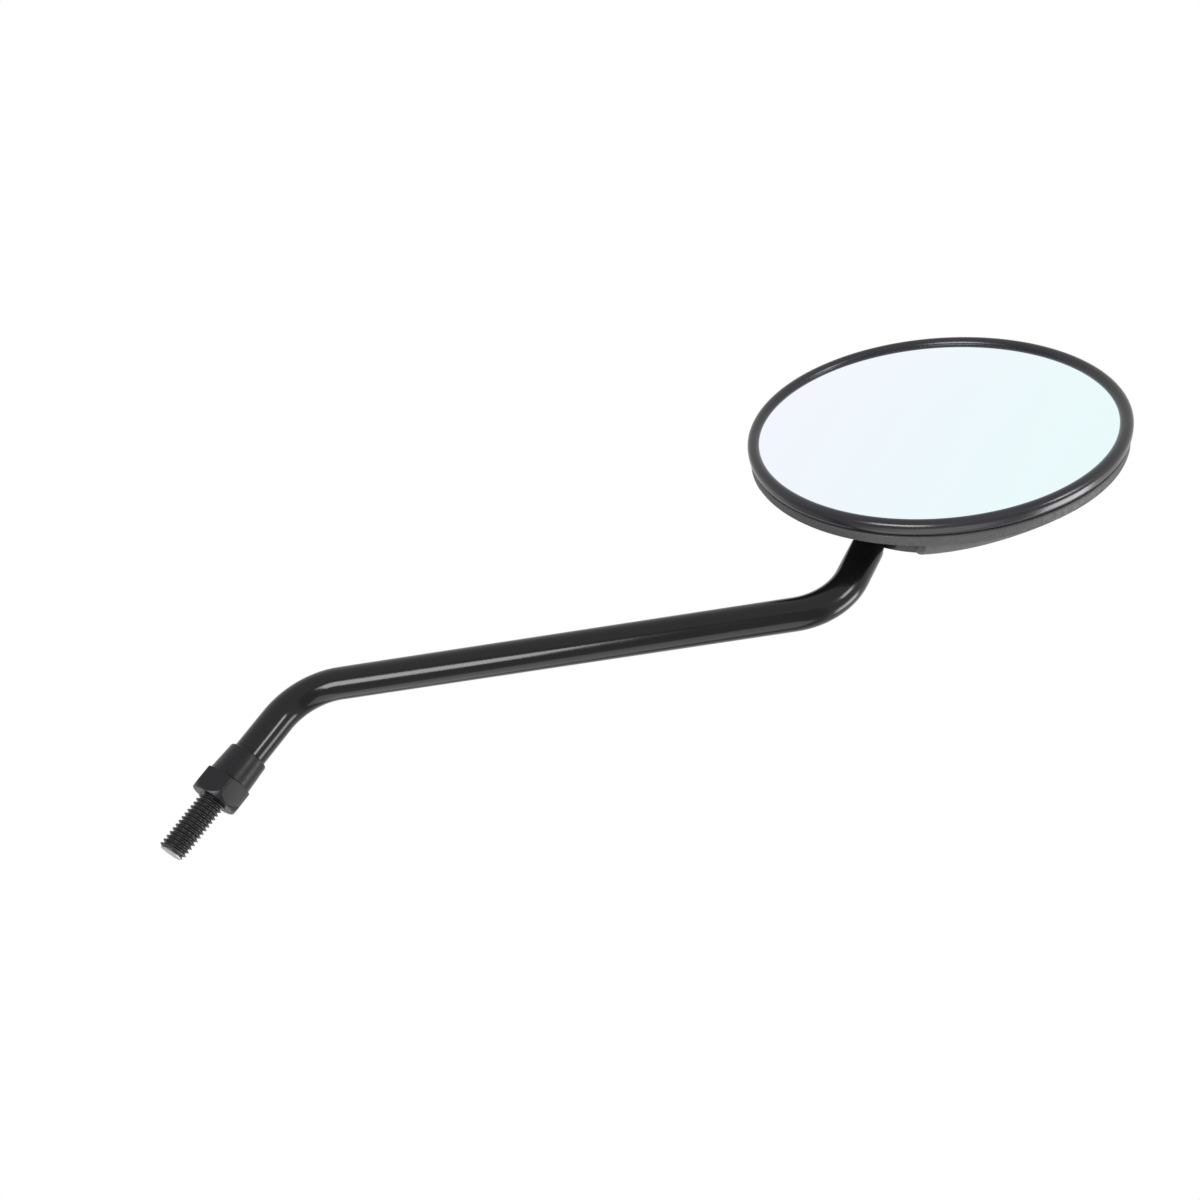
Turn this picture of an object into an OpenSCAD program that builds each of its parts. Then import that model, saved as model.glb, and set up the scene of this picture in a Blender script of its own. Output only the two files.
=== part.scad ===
// Round motorcycle mirror on a twice bent stem, with a threaded stud below and a ball joint in the head.
// Millimetres. Origin on the stud's axis, halfway along its exposed thread.
// +Z goes up the stud, +X outward along the arm, and the glass looks towards -Y, at the rider.

/* [Stem] */
// Diameter of the stem rod
stem_d = 10; // [8:0.5:12]
// Turn at each of the two bends, degrees
bend_angle = 58; // [40:1:75]
// Radius of each bend, to the rod's centre line
bend_r = 22; // [15:1:40]
// Distance between the corner points of the two bends
arm_length = 161.5; // [100:1:220]
// Corner point of the lower bend above the nut's lower face
lower_leg = 41.5; // [30:0.5:70]
// Corner point of the upper bend to the ball's centre
upper_leg = 45; // [38:0.5:80]
// Diameter of the ball at the stem's upper end
ball_d = 12; // [10:0.5:16]
// Diameter of the neck below the ball
neck_d = 6; // [4:0.5:7]
// Length of the neck, from the ball's centre to the cone
neck_length = 12.5; // [11:0.5:18]
// Length of the cone between neck and rod
cone_length = 8.5; // [3:0.5:10]

/* [Stud and lock nut] */
// Thread diameter of the stud
stud_d = 8; // [8:2:10]
// Exposed length of the stud below the lock nut
stud_length = 18; // [12:0.5:25]
// Chamfer at the stud's tip
stud_chamfer = 0.8; // [0.4:0.1:1.5]
// Width of the lock nut across its flats
nut_flats = 14; // [12:0.5:17]
// Length of the full hexagon
nut_hex_length = 7; // [5:0.5:12]
// Length of the whole lock nut with its skirt
nut_length = 16; // [10:0.5:20]
// Height of the turned chamfer on the hexagon's lower corners
nut_chamfer = 2.2; // [0.4:0.1:3]
// Diameter of the tapered skirt where it leaves the hexagon
skirt_d = 12.9; // [12:0.1:16]
// How much narrower the skirt is at its upper end
skirt_taper = 0.9; // [0:0.1:1.5]
// Turn of the tightened nut about the stud, degrees
nut_turn = 10.4; // [0:0.1:60]
// Radial gap between the skirt and the rod
skirt_gap = 0.35; // [0.2:0.05:0.8]

/* [Head] */
// Outer diameter of the round head
head_d = 113; // [90:1:130]
// Width of the bezel's bead across the glass
bezel_width = 3.7; // [3:0.5:6]
// Height of the bezel's bead in front of the glass's edge
bead_height = 1.55; // [1:0.05:3]
// Straight side between the bead's front and back rounds
bead_side = 0.9; // [0.6:0.1:2]
// Depth of the skirt that holds the bezel in the housing, behind the glass's edge
bezel_skirt_depth = 4.5; // [3.5:0.1:5]
// Thickness of the bezel's skirt
bezel_skirt = 0.75; // [0.5:0.05:1.2]
// Depth of the housing's side band behind the glass's edge
band_depth = 6.1; // [4.5:0.1:12]
// Parting gap between the bezel and the housing
parting_gap = 0.35; // [0.2:0.05:0.8]
// Thickness of the housing's wall
wall = 2.2; // [1.8:0.1:3]
// Height of the housing's highest point behind the glass's edge
dome_height = 25.5; // [22:0.1:32]
// Distance of the highest point from the head's centre
dome_shift = 25.5; // [10:0.5:30]
// Roundness of the dome, as a power of the distance from its highest point
dome_power = 2.1; // [1.6:0.1:3]
// Fullness of the dome near the rim, as a power; a smaller one is fuller
dome_fullness = 0.95; // [0.7:0.01:1.2]

/* [Pocket] */
// Distance of the pocket's lip from the ball's centre
lip_gap = 13; // [11.5:0.5:18]
// Width of the lip
lip_width = 34; // [26:1:44]
// Angle of each side wall away from the lip's middle line
pocket_flare = 45; // [30:1:60]
// Depth of the pocket's floor behind the glass's edge
floor_depth = 4; // [3.6:0.1:8]
// Thickness of the pocket's floor
floor_wall = 1.4; // [1:0.1:2.4]
// Width of the band left standing outside the pocket
band_width = 2.8; // [2:0.5:5]

/* [Glass] */
// Radius of the convex glass
glass_curve = 600; // [400:50:1400]
// Thickness of the glass
glass_thickness = 1.6; // [1.4:0.1:3]
// Thickness of the pad behind the glass
pad_thickness = 0.8; // [0.6:0.1:3]
// How far the bezel reaches over the glass's edge
glass_overlap = 1.4; // [1:0.1:2.5]
// Radial gap between the glass's edge and the bezel
glass_gap = 0.25; // [0.1:0.05:0.6]
// How far the pad's edge lies inside the glass's edge
pad_inset = 4.2; // [3:0.1:12]

/* [Ball clamp] */
// Distance of the ball from the head's centre
ball_reach = 22; // [16:0.5:28]
// Depth of the ball's centre behind the glass's edge
ball_depth = 16; // [15:0.5:20]
// Thickness of each ball seat
seat_thickness = 1.4; // [1:0.1:2]
// Half angle that each seat covers
seat_angle = 43; // [35:1:48]
// Running gap on each spherical face
ball_gap = 0.08; // [0.03:0.01:0.1]
// Thickness of the clamp plate
plate_thickness = 1.5; // [1:0.1:2]
// Depth of the plate's rear face behind the glass's edge
plate_depth = 11.3; // [10:0.1:14]
// Width of the plate's two arms
plate_arm = 9; // [8:0.5:14]
// Distance of the clamp screw from the head's centre, towards the pocket
screw_reach = 28; // [24:0.5:32]
// Distance of the clamp screw to the side of the pocket's middle line
screw_side = 15.4; // [13:0.1:18]
// Thread diameter of the clamp screw
screw_d = 4; // [3:0.5:5]
// Head diameter of the clamp screw
screw_head_d = 7.4; // [6:0.2:9]
// Height of the clamp screw's head
screw_head_h = 2.4; // [1.6:0.1:3.5]
// Depth of the clamp screw's head top behind the glass's edge
screw_top = 22.2; // [20:0.1:26]
// Diameter of the counterbore round the screw's head
counterbore_d = 8.6; // [7:0.2:11]
// Width of the square nut
square_nut_w = 7; // [5.5:0.5:8]
// Thickness of the square nut
square_nut_h = 2.6; // [2:0.1:4]
// Thickness of the lock washer
washer_h = 0.9; // [0.6:0.1:1.5]

/* [Head travel] */
// Largest tilt of the head with the stem moving away from the glass, degrees
tilt_away = 11.5; // [6:0.5:14]
// Largest tilt of the head with the stem moving towards the glass, degrees
tilt_near = 6; // [2:0.5:8]
// Largest turn of the head about the glass's own axis, either way, degrees
roll_limit = 25; // [10:1:30]
// Room left round the stem at the ends of its travel
travel_gap = 0.35; // [0.2:0.05:0.8]

/* [Rest pose] */
// Turn of the head about the stem's end, degrees
pan = -7.5; // [-60:0.1:60]
// Tilt of the head up or down, degrees
tilt = -10.3; // [-12:0.1:6]
// Turn of the head about the glass's own axis, degrees
roll = 13.8; // [-35:0.1:35]

/* [Hidden] */
$fn = 96;
eps = 0.01;
stem_r = stem_d / 2;
stud_r = stud_d / 2;
core_r = 0.9 * stud_r;
bend_tube_r = stem_r - 0.04;
bend_lap = 0.5;
ball_r = ball_d / 2;
neck_r = neck_d / 2;
nut_z = stud_length / 2;
tangent = bend_r * tan(bend_angle / 2);
low_bend_z = nut_z + lower_leg;
high_bend_x = arm_length * sin(bend_angle);
high_bend_z = low_bend_z + arm_length * cos(bend_angle);
ball_z = high_bend_z + upper_leg;
rod_start = nut_z + 0.72 * nut_length;
head_r = head_d / 2;
sight_r = head_r - bezel_width;
bead_r = bezel_width / 2;
glass_r = sight_r + glass_overlap;
bezel_bore_r = glass_r + glass_gap;
pad_r = glass_r - pad_inset;
through = 2 * dome_height;
glass_centre = glass_curve - sight_r * sight_r / (2 * glass_curve);
bezel_back = bezel_width - bead_height + bead_side;
housing_foot = bezel_back + parting_gap;
housing_r = head_r - 0.4;
lip_reach = ball_reach + lip_gap;
inner_r = housing_r - 2.6;
inner_base = band_depth - 0.7;
tongue_front = glass_thickness + 0.4;
seat_in = ball_r + ball_gap;
seat_out = seat_in + seat_thickness;
socket_r = seat_out + ball_gap;
dimple_r = socket_r + plate_thickness;
peg_reach = 2 * ball_reach - screw_reach;
screw_r = screw_d / 2;
tongue_r = bezel_bore_r - 0.2;

// Height of the dome's profile at a share of the way from its highest point to the rim
function dome_profile(s) = pow(max(0, 1 - pow(s, dome_power)), dome_fullness);

// Length of the ray from the highest point to the rim, in direction a
function ray_length(a, rim, shift) =
  -shift * cos(a) + sqrt(rim * rim - shift * shift * sin(a) * sin(a));

// Moves the head's own frame onto the ball: its X towards the pocket, its Z out of the housing's back
module head_pose() {
  translate([high_bend_x, 0, ball_z])
    rotate([0, 0, pan])
      rotate([tilt, 0, 0])
        rotate([0, roll, 0])
          rotate([0, 90, 90])
            translate([-ball_reach, 0, -ball_depth])
              children();
}

// A dome over a round band whose highest point lies off centre
module dome(rim, foot, base, top, shift, segments, rings) {
  shares = [for (k = [0 : rings - 1]) 1 - pow(k / rings, 1.6)];
  body = [for (k = [0 : rings - 1], i = [0 : segments - 1])
    let (a = 360 * i / segments, d = shares[k] * ray_length(a, rim, shift))
    [shift + d * cos(a), d * sin(a), base + (top - base) * dome_profile(shares[k])]];
  skirt = [for (i = [0 : segments - 1])
    let (a = 360 * i / segments, d = ray_length(a, rim, shift))
    [shift + d * cos(a), d * sin(a), foot]];
  points = concat(skirt, body, [[shift, 0, top], [shift, 0, foot]]);
  apex = segments * (rings + 1);
  walls = [for (k = [0 : rings - 1], i = [0 : segments - 1])
    let (j = (i + 1) % segments, lo = k * segments, hi = (k + 1) * segments)
    each [[lo + i, hi + i, hi + j], [lo + i, hi + j, lo + j]]];
  crown = [for (i = [0 : segments - 1])
    [rings * segments + i, apex, rings * segments + (i + 1) % segments]];
  bottom = [for (i = [0 : segments - 1]) [i, (i + 1) % segments, apex + 1]];
  polyhedron(points = points, faces = concat(walls, crown, bottom), convexity = 4);
}

// Plan of the wedge pocket, grown inward by a wall
module pocket_plan(grow) {
  x = lip_reach - grow;
  half = lip_width / 2 + grow * tan(pocket_flare / 2);
  out = head_r + 6 - x;
  polygon([[x, -half], [x + out, -half - out * tan(pocket_flare)],
           [x + out, half + out * tan(pocket_flare)], [x, half]]);
}

// Neck and cone, lying along X from the ball, with the travel gap round them
module neck_with_gap() {
  reach = neck_length + 5;
  wide = neck_r + (stem_r - neck_r) * 5 / cone_length;
  rotate([0, 90, 0]) {
    cylinder(r = neck_r + travel_gap, h = neck_length);
    translate([0, 0, neck_length])
      cylinder(r1 = neck_r + travel_gap, r2 = wide + travel_gap, h = reach - neck_length);
  }
}

// Room that the neck sweeps through as the head tilts and turns
module neck_room() {
  reach = neck_length + 5;
  wide = neck_r + (stem_r - neck_r) * 5 / cone_length + travel_gap;
  thin = neck_r + travel_gap;
  translate([ball_reach, 0, ball_depth]) {
    rotate_extrude(angle = 2 * roll_limit, start = -roll_limit)
      polygon([[0, -thin], [neck_length, -thin - neck_length * tan(tilt_near)],
               [reach, -wide - reach * tan(tilt_near)],
               [reach, wide + reach * tan(tilt_away)],
               [neck_length, thin + neck_length * tan(tilt_away)], [0, thin]]);
    for (side = [-1, 1])
      rotate([0, 0, side * roll_limit]) {
        rotate([0, -tilt_away, 0])
          neck_with_gap();
        rotate([0, tilt_near, 0])
          neck_with_gap();
        translate([0, 0, -1.2])
          linear_extrude(3.6)
            polygon([[0, -thin], [neck_length, -thin], [reach, -wide],
                     [reach, wide], [neck_length, thin], [0, thin]]);
      }
  }
}

module tube(r_out, r_in, h) {
  difference() {
    cylinder(r = r_out, h = h);
    translate([0, 0, -1])
      cylinder(r = r_in, h = h + 2);
  }
}

// One spherical cap of the shell between two radii, opening along +Z
module ball_cap(r_in, r_out, half_angle) {
  rotate_extrude()
    intersection() {
      difference() {
        circle(r = r_out);
        circle(r = r_in);
      }
      polygon([[0, 0], [0, 2 * r_out], [2 * r_out * tan(half_angle), 2 * r_out]]);
    }
}

module stem() {
  color([0.02, 0.02, 0.022]) {
    // exposed stud with its chamfered tip
    translate([0, 0, -stud_length / 2])
      cylinder(r1 = stud_r - stud_chamfer, r2 = stud_r, h = stud_chamfer);
    translate([0, 0, -stud_length / 2 + stud_chamfer])
      cylinder(r = stud_r, h = stud_length - stud_chamfer);
    // the stretch inside the lock nut
    translate([0, 0, nut_z - eps])
      cylinder(r = core_r, h = rod_start - nut_z + eps);
    translate([0, 0, rod_start - 0.6])
      cylinder(r1 = core_r, r2 = stem_r, h = 0.6);
    // lower leg
    translate([0, 0, rod_start])
      cylinder(r = stem_r, h = low_bend_z - tangent - rod_start + bend_lap);
    // lower bend
    translate([bend_r, 0, low_bend_z - tangent])
      rotate([90, 0, 0])
        rotate_extrude(angle = bend_angle, start = 180 - bend_angle)
          translate([bend_r, 0])
            circle(r = bend_tube_r);
    // long arm
    translate([0, 0, low_bend_z])
      rotate([0, bend_angle, 0])
        translate([0, 0, tangent - bend_lap])
          cylinder(r = stem_r, h = arm_length - 2 * tangent + 2 * bend_lap);
    // upper bend
    translate([high_bend_x - bend_r, 0, high_bend_z + tangent])
      rotate([90, 0, 0])
        rotate_extrude(angle = bend_angle, start = -bend_angle)
          translate([bend_r, 0])
            circle(r = bend_tube_r);
    // upper leg, cone, neck and ball
    translate([high_bend_x, 0, high_bend_z + tangent - bend_lap])
      cylinder(r = stem_r, h = upper_leg - tangent - neck_length - cone_length + bend_lap);
    translate([high_bend_x, 0, ball_z - neck_length - cone_length])
      cylinder(r1 = stem_r, r2 = neck_r, h = cone_length);
    translate([high_bend_x, 0, ball_z - neck_length])
      cylinder(r = neck_r, h = neck_length - ball_r / 2);
    translate([high_bend_x, 0, ball_z])
      sphere(r = ball_r);
  }
}

module lock_nut() {
  corner = nut_flats / 2 / cos(30);
  color([0.03, 0.03, 0.033])
    translate([0, 0, nut_z])
      difference() {
        union() {
          // hexagon with turned corners
          intersection() {
            rotate([0, 0, nut_turn])
              cylinder(r = corner, h = nut_hex_length, $fn = 6);
            rotate_extrude()
              polygon([[0, 0], [nut_flats / 2 - 0.15, 0], [corner + 0.1, nut_chamfer],
                       [corner + 0.1, nut_hex_length - 0.6], [nut_flats / 2 - 0.1, nut_hex_length],
                       [0, nut_hex_length]]);
          }
          // tapered skirt
          rotate_extrude()
            polygon([[0, nut_hex_length - 1], [skirt_d / 2, nut_hex_length - 1],
                     [skirt_d / 2, nut_hex_length],
                     [(skirt_d - skirt_taper) / 2, nut_length - 0.3],
                     [(skirt_d - skirt_taper) / 2 - 0.3, nut_length], [0, nut_length]]);
        }
        // threaded bore, drawn plain at the thread's core
        translate([0, 0, -1])
          cylinder(r = core_r + 0.05, h = nut_length);
        // countersink at the bore's mouth
        translate([0, 0, -eps])
          cylinder(r1 = stud_r + 0.4, r2 = core_r + 0.05, h = 0.8);
        // counterbore that lets the skirt slide over the rod
        translate([0, 0, 0.66 * nut_length])
          cylinder(r = stem_r + skirt_gap, h = nut_length);
      }
}

module housing() {
  color([0.09, 0.092, 0.095])
    head_pose()
      difference() {
        union() {
          difference() {
            union() {
              dome(housing_r, housing_foot, band_depth, dome_height, dome_shift, 96, 14);
              // tongue that carries the glass inside the bezel
              translate([0, 0, tongue_front])
                cylinder(r = tongue_r, h = band_depth - tongue_front - 0.1);
            }
            difference() {
              union() {
                dome(inner_r, inner_base - 1, inner_base, dome_height - wall, dome_shift, 60, 9);
                cylinder(r = tongue_r - 2.5, h = inner_base - 0.5);
              }
              // walls and floor of the pocket
              translate([0, 0, floor_depth - floor_wall])
                linear_extrude(through)
                  pocket_plan(wall);
            }
          }
          // ball socket, screw boss and peg boss, trimmed to the dome
          intersection() {
            dome(housing_r - 0.7, band_depth - 1, band_depth, dome_height - 0.6, dome_shift, 48, 8);
            union() {
              translate([ball_reach, 0, ball_depth + 3.6])
                cylinder(r = socket_r + 2.4, h = dome_height);
              translate([screw_reach, screw_side, plate_depth + 0.6])
                cylinder(r = counterbore_d / 2 + 1.3, h = dome_height);
              translate([peg_reach, -screw_side, plate_depth])
                cylinder(r = 4.4, h = dome_height);
              // ribs that carry the bosses
              translate([ball_reach - 1, -screw_side, ball_depth + 4.5])
                cube([2, 2 * screw_side, 10]);
            }
          }
          translate([peg_reach, -screw_side, plate_depth - plate_thickness - 0.6])
            cylinder(r = 1.9, h = 6);
        }
        // groove that the bezel's skirt sits in
        translate([0, 0, housing_foot - 1])
          tube(bezel_bore_r + bezel_skirt + 0.2, tongue_r, bezel_skirt_depth + 1.2 - housing_foot);
        // pocket down to its floor, inside the band, and the band's own height
        translate([0, 0, floor_depth])
          linear_extrude(through)
            intersection() {
              pocket_plan(0);
              circle(r = housing_r - band_width);
            }
        translate([0, 0, band_depth])
          linear_extrude(through)
            pocket_plan(0);
        // spherical socket and the way in for the neck
        translate([ball_reach, 0, ball_depth])
          sphere(r = socket_r);
        neck_room();
        // clamp screw's hole and counterbore
        translate([screw_reach, screw_side, 0])
          cylinder(r = screw_r + 0.25, h = through);
        translate([screw_reach, screw_side, screw_top - screw_head_h])
          cylinder(r = counterbore_d / 2, h = through);
      }
}

module bezel() {
  low = bead_r - bead_height;
  color([0.035, 0.035, 0.038])
    head_pose()
      rotate_extrude()
        union() {
          difference() {
            union() {
              translate([head_r - bead_r, low])
                circle(r = bead_r);
              translate([head_r - bead_r, low + bead_side])
                circle(r = bead_r);
              // straight side between the two rounds
              translate([head_r - bead_r, low])
                square([bead_r - 0.02, bead_side]);
            }
            square([bezel_bore_r, bezel_width + bead_side]);
          }
          // skirt
          translate([bezel_bore_r, low])
            square([bezel_skirt, bezel_skirt_depth - low]);
        }
}

module mirror_glass() {
  color([0.82, 0.9, 0.93])
    head_pose()
      rotate_extrude()
        intersection() {
          difference() {
            translate([0, glass_centre])
              circle(r = glass_curve);
            translate([0, glass_centre])
              circle(r = glass_curve - glass_thickness);
          }
          translate([0, -6])
            square([glass_r, 12]);
        }
}

module backing_pad() {
  color([0.12, 0.12, 0.12])
    head_pose()
      rotate_extrude()
        intersection() {
          difference() {
            translate([0, glass_centre])
              circle(r = glass_curve - glass_thickness - 0.03);
            translate([0, glass_centre])
              circle(r = glass_curve - glass_thickness - pad_thickness);
          }
          translate([0, -6])
            square([pad_r, 12]);
        }
}

module rear_ball_seat() {
  color([0.75, 0.74, 0.7])
    head_pose()
      translate([ball_reach, 0, ball_depth])
        ball_cap(seat_in, seat_out, seat_angle);
}

module front_ball_seat() {
  color([0.75, 0.74, 0.7])
    head_pose()
      translate([ball_reach, 0, ball_depth])
        rotate([180, 0, 0])
          ball_cap(seat_in, seat_out, seat_angle);
}

module clamp_plate() {
  turn = atan2(screw_side, screw_reach - ball_reach);
  reach = norm([screw_side, screw_reach - ball_reach]);
  color([0.55, 0.55, 0.52])
    head_pose()
      difference() {
        union() {
          translate([0, 0, plate_depth - plate_thickness])
            linear_extrude(plate_thickness)
              union() {
                translate([ball_reach, 0])
                  circle(r = dimple_r + 1);
                translate([ball_reach, 0])
                  rotate(turn)
                    translate([-reach, -plate_arm / 2])
                      square([2 * reach, plate_arm]);
                translate([screw_reach, screw_side])
                  circle(r = plate_arm / 2);
                translate([peg_reach, -screw_side])
                  circle(r = plate_arm / 2);
              }
          // pressed cup round the front of the ball
          intersection() {
            translate([ball_reach, 0, ball_depth])
              sphere(r = dimple_r);
            translate([ball_reach, 0, ball_depth - dimple_r - 1])
              cylinder(r = dimple_r + 1, h = plate_depth - ball_depth + dimple_r + 1);
          }
        }
        translate([ball_reach, 0, ball_depth])
          sphere(r = socket_r);
        translate([screw_reach, screw_side, 0])
          cylinder(r = screw_r + 0.2, h = 30);
        translate([peg_reach, -screw_side, 0])
          cylinder(r = 2.1, h = 30);
      }
}

module clamp_screw() {
  tip = plate_depth - plate_thickness - washer_h - square_nut_h - 1.4;
  color([0.2, 0.17, 0.15])
    head_pose()
      translate([screw_reach, screw_side, 0])
        difference() {
          union() {
            translate([0, 0, tip])
              cylinder(r1 = screw_r - 0.5, r2 = screw_r, h = 0.5);
            translate([0, 0, tip + 0.5])
              cylinder(r = screw_r, h = screw_top - screw_head_h - tip - 0.4);
            // head, a little domed
            intersection() {
              translate([0, 0, screw_top - screw_head_h])
                cylinder(r = screw_head_d / 2, h = screw_head_h);
              translate([0, 0, screw_top - 10])
                sphere(r = 10);
            }
          }
          // cross recess with tapered wings
          for (a = [0, 90])
            rotate([0, 0, a + 20])
              translate([0, 0, screw_top])
                rotate([90, 0, 0])
                  translate([0, 0, -0.45])
                    linear_extrude(0.9)
                      polygon([[-2.1, 1], [-2.1, 0], [-0.7, -1.7], [0.7, -1.7], [2.1, 0], [2.1, 1]]);
        }
}

module lock_washer() {
  color([0.5, 0.5, 0.5])
    head_pose()
      translate([screw_reach, screw_side, plate_depth - plate_thickness - washer_h])
        difference() {
          tube(screw_r + 1.7, screw_r + 0.12, washer_h);
          // split of the spring washer
          rotate([0, 0, 115])
            translate([0, -0.35, -1])
              cube([6, 0.7, washer_h + 2]);
        }
}

module square_nut() {
  color([0.5, 0.5, 0.5])
    head_pose()
      translate([screw_reach, screw_side, plate_depth - plate_thickness - washer_h - square_nut_h])
        difference() {
          rotate([0, 0, 24])
            translate([-square_nut_w / 2, -square_nut_w / 2, 0])
              cube([square_nut_w, square_nut_w, square_nut_h]);
          translate([0, 0, -1])
            cylinder(r = screw_r, h = square_nut_h + 2);
        }
}

stem();
lock_nut();
housing();
bezel();
mirror_glass();
backing_pad();
rear_ball_seat();
front_ball_seat();
clamp_plate();
clamp_screw();
lock_washer();
square_nut();
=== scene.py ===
import math

import bmesh
import bpy
from mathutils import Matrix, Vector
from mathutils.geometry import delaunay_2d_cdt


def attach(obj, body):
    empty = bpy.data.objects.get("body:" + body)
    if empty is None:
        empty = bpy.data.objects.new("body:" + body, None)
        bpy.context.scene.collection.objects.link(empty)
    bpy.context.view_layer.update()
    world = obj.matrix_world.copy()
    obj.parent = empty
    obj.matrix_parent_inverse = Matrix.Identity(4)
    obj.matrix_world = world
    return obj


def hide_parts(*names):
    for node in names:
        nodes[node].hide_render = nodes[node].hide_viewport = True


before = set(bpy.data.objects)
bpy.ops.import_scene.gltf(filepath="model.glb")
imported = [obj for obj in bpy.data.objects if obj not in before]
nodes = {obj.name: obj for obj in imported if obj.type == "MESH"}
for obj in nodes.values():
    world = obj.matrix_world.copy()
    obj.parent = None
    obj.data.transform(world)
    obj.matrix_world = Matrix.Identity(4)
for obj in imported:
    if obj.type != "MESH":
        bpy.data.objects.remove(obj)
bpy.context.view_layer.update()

# ---------------------------------------------------------------- sizes, in mm, as in the part's source
MM = 0.001
STEM_R = 5.0
BEND = math.radians(58.0)
BEND_R = 22.0
ARM = 161.5
LOWER_LEG = 41.5
UPPER_LEG = 45.0
BALL_R = 6.0
NECK_R = 3.0
NECK_LENGTH = 12.5
CONE_LENGTH = 8.5
STUD_R = 4.0
STUD_LENGTH = 18.0
STUD_CHAMFER = 0.8
NUT_FLATS = 14.0
NUT_HEX = 7.0
NUT_CHAMFER = 2.2
NUT_LENGTH = 16.0
NUT_TURN = math.radians(10.4)
SKIRT_R = 6.45
SKIRT_TIP_R = 6.0
SKIRT_BORE_R = 5.35
SKIRT_BORE_FROM = 10.56
HEAD_R = 56.5
SIGHT_R = 52.8
BEAD_HEIGHT = 1.55
BEAD_SIDE = 0.9
SKIRT_DEPTH = 4.5
SKIRT_WALL = 0.75
BEZEL_BORE_R = 54.45
GLASS_R = 54.2
GLASS_CURVE = 600.0
GLASS_THICKNESS = 1.6
BALL_REACH = 22.0
BALL_DEPTH = 16.0
PAN, TILT, ROLL = (math.radians(a) for a in (-7.5, -10.3, 13.8))

NUT_Z = STUD_LENGTH / 2
TANGENT = BEND_R * math.tan(BEND / 2)
LOW_Z = NUT_Z + LOWER_LEG
HIGH_X = ARM * math.sin(BEND)
HIGH_Z = LOW_Z + ARM * math.cos(BEND)
BALL_Z = HIGH_Z + UPPER_LEG

# The head's own frame: X towards the pocket, Z out of the housing's back, origin in the glass's edge plane
HEAD = (
    Matrix.Translation((HIGH_X, 0, BALL_Z))
    @ Matrix.Rotation(PAN, 4, "Z")
    @ Matrix.Rotation(TILT, 4, "X")
    @ Matrix.Rotation(ROLL, 4, "Y")
    @ Matrix.Rotation(math.pi / 2, 4, "Z")
    @ Matrix.Rotation(math.pi / 2, 4, "Y")
    @ Matrix.Translation((-BALL_REACH, 0, -BALL_DEPTH))
)


# ---------------------------------------------------------------- material helpers
# The Mix node's sockets that hold its factor and its colours
MIX_FACTOR, MIX_A, MIX_B, MIX_RESULT = 0, 6, 7, 2

# The stud's cut end is bare steel, in metres up the stud
BARE_BELOW, BLACK_ABOVE = -0.00885, -0.00865


class Nodes:
    """A material's node tree, with short calls for the nodes used here."""

    def __init__(self, name):
        self.mat = bpy.data.materials.new(name)
        self.mat.use_nodes = True
        self.tree = self.mat.node_tree
        self.bsdf = self.tree.nodes["Principled BSDF"]
        self.coord = self.tree.nodes.new("ShaderNodeTexCoord").outputs["Object"]

    def feed(self, target, value):
        """Links an output to an input socket, or sets the socket to a plain value."""
        if hasattr(value, "is_output"):
            self.tree.links.new(value, target)
        else:
            target.default_value = value

    def put(self, socket, value):
        self.feed(self.bsdf.inputs[socket], value)

    def node(self, kind, links=(), **values):
        n = self.tree.nodes.new(kind)
        for key, value in values.items():
            setattr(n, key, value)
        for socket, value in links:
            self.feed(n.inputs[socket], value)
        return n

    def noise(self, scale, detail, rough, distortion=0.0):
        n = self.node("ShaderNodeTexNoise", [("Vector", self.coord), ("Scale", scale), ("Detail", detail),
                                             ("Roughness", rough), ("Distortion", distortion)])
        return n.outputs["Fac"]

    def voronoi(self, scale):
        n = self.node("ShaderNodeTexVoronoi", [("Vector", self.coord), ("Scale", scale)])
        return n.outputs["Distance"]

    def span(self, fac, low, high, to_low, to_high):
        n = self.node("ShaderNodeMapRange", [("Value", fac), ("From Min", low), ("From Max", high),
                                             ("To Min", to_low), ("To Max", to_high)])
        return n.outputs["Result"]

    def math(self, operation, a, b):
        return self.node("ShaderNodeMath", [(0, a), (1, b)], operation=operation).outputs[0]

    def mix(self, fac, a, b):
        """Blends two colours, each an output or plain (red, green, blue)."""
        n = self.node("ShaderNodeMix", data_type="RGBA")
        self.feed(n.inputs[MIX_FACTOR], fac)
        for socket, colour in ((MIX_A, a), (MIX_B, b)):
            self.feed(n.inputs[socket], colour if hasattr(colour, "is_output") else (*colour, 1.0))
        return n.outputs[MIX_RESULT]

    def bump(self, height, strength, distance):
        links = [("Height", height), ("Strength", strength), ("Distance", distance)]
        return self.node("ShaderNodeBump", links).outputs["Normal"]

    def axis(self, name):
        return self.node("ShaderNodeSeparateXYZ", [(0, self.coord)]).outputs[name]


def black_paint():
    m = Nodes("gloss_black_paint")
    clouds = m.noise(38, 4, 0.6)
    peel = m.noise(420, 2, 0.5)
    dust = m.span(m.noise(2600, 2, 0.6), 0.66, 0.74, 0.0, 1.0)
    m.put("Base Color", m.mix(m.math("MULTIPLY", dust, 0.25), (0.005, 0.005, 0.0055), (0.04, 0.04, 0.042)))
    m.put("Roughness", m.span(clouds, 0.3, 0.7, 0.12, 0.19))
    m.put("IOR", 1.36)
    m.put("Normal", m.bump(peel, 0.1, 0.00004))
    return m.mat


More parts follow.
